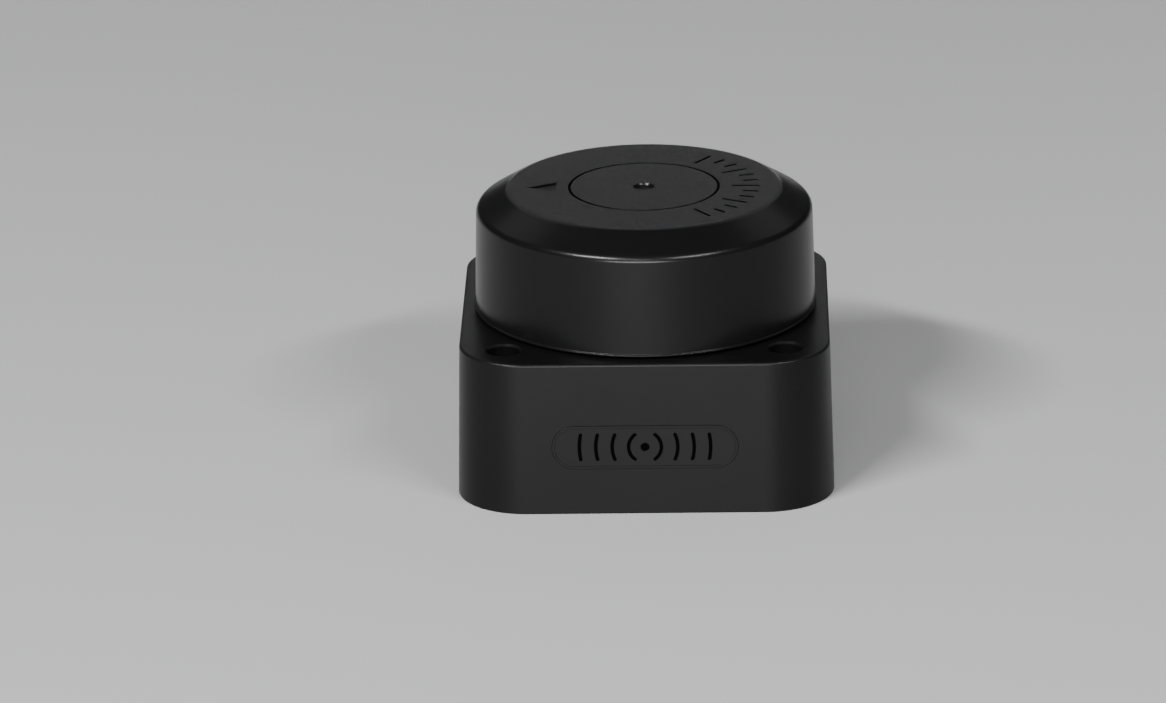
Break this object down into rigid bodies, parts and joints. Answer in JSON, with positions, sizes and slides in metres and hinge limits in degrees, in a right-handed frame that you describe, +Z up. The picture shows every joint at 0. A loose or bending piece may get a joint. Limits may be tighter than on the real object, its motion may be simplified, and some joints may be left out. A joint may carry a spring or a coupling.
{
  "type": "lidar scanner module",
  "caption": "Compact rotating lidar scanner: a square moulded base holds a motor and bearings, and a round head with the ranging optics spins on it.",
  "frame": {"origin": "centre of the underside, on the head's spin axis", "axes": "+Z up along the spin axis; -Y towards the front badge; +Y towards the plug port; -X the way the heading arrow and the optics point"},
  "size_m": [0.0556, 0.0556, 0.0413],
  "materials": {
    "housing_plastic": "fine satin moulded texture, black",
    "head_plastic": "smooth satin black, passes infrared",
    "badge_plastic": "satin black",
    "inner_plastic": "moulded black",
    "steel": "ground and plated",
    "black_steel": "black oxide",
    "brass": "turned",
    "aluminium": "turned, bright",
    "circuit_board": "green solder mask",
    "chip": "moulded epoxy",
    "copper": "enamelled copper wire",
    "ferrite": "sintered, dark grey",
    "magnet": "bonded magnet, grey",
    "core_steel": "stacked laminations",
    "lens_glass": "coated, faint red",
    "header_plastic": "natural nylon"
  },
  "bodies": {
    "base": {"base_housing": "housing_plastic", "front_badge": "badge_plastic", "bottom_cover": "inner_plastic", "standoff_1": "brass", "standoff_2": "brass", "standoff_3": "brass", "standoff_4": "brass", "case_screw_1": "black_steel", "case_screw_2": "black_steel", "case_screw_3": "black_steel", "case_screw_4": "black_steel", "main_board": "circuit_board", "mcu_chip": "chip", "capacitor": "aluminium", "link_led": "lens_glass", "connector_header": "header_plastic", "bearing_tube": "aluminium", "motor_screw_1": "steel", "motor_screw_2": "steel", "motor_screw_3": "steel", "stator_core": "core_steel", "stator_winding": "copper", "link_board": "circuit_board", "link_board_screw_1": "steel", "link_board_screw_2": "steel", "link_board_screw_3": "steel", "lower_bearing_outer": "steel", "upper_bearing_outer": "steel", "lower_ferrite": "ferrite", "primary_coil": "copper", "encoder_sensor": "chip"},
    "scan_head": {"head_cover": "head_plastic", "top_disc": "head_plastic", "cover_screw_1": "black_steel", "cover_screw_2": "black_steel", "rotor_platform": "inner_plastic", "platform_screw_1": "steel", "platform_screw_2": "steel", "platform_screw_3": "steel", "head_board": "circuit_board", "link_photodiode": "chip", "counterweight": "brass", "optics_block": "inner_plastic", "emitter_lens": "lens_glass", "receiver_lens": "lens_glass", "laser_diode": "brass", "optics_board": "circuit_board", "detector_chip": "chip", "encoder_ring": "inner_plastic", "upper_ferrite": "ferrite", "secondary_coil": "copper", "rotor_bell": "steel", "magnet_ring": "magnet", "hollow_shaft": "steel", "shaft_clip": "black_steel", "lower_bearing_inner": "steel", "upper_bearing_inner": "steel"},
    "lower_ball_cage": {"lower_bearing_balls": "steel"},
    "upper_ball_cage": {"upper_bearing_balls": "steel"}
  },
  "joints": [
    {"name": "head_spin", "type": "hinge", "parent": "base", "child": "scan_head", "pos_m": [0, 0, 0.0242], "axis": [0, 0, 1], "continuous": true},
    {"name": "lower_cage_spin", "type": "hinge", "parent": "base", "child": "lower_ball_cage", "pos_m": [0, 0, 0.0078], "axis": [0, 0, 1], "continuous": true},
    {"name": "upper_cage_spin", "type": "hinge", "parent": "base", "child": "upper_ball_cage", "pos_m": [0, 0, 0.0151], "axis": [0, 0, 1], "continuous": true}
  ],
  "couplings": [
    {"joint": "lower_cage_spin", "follows": "head_spin", "ratio": 0.4},
    {"joint": "upper_cage_spin", "follows": "head_spin", "ratio": 0.4}
  ]
}
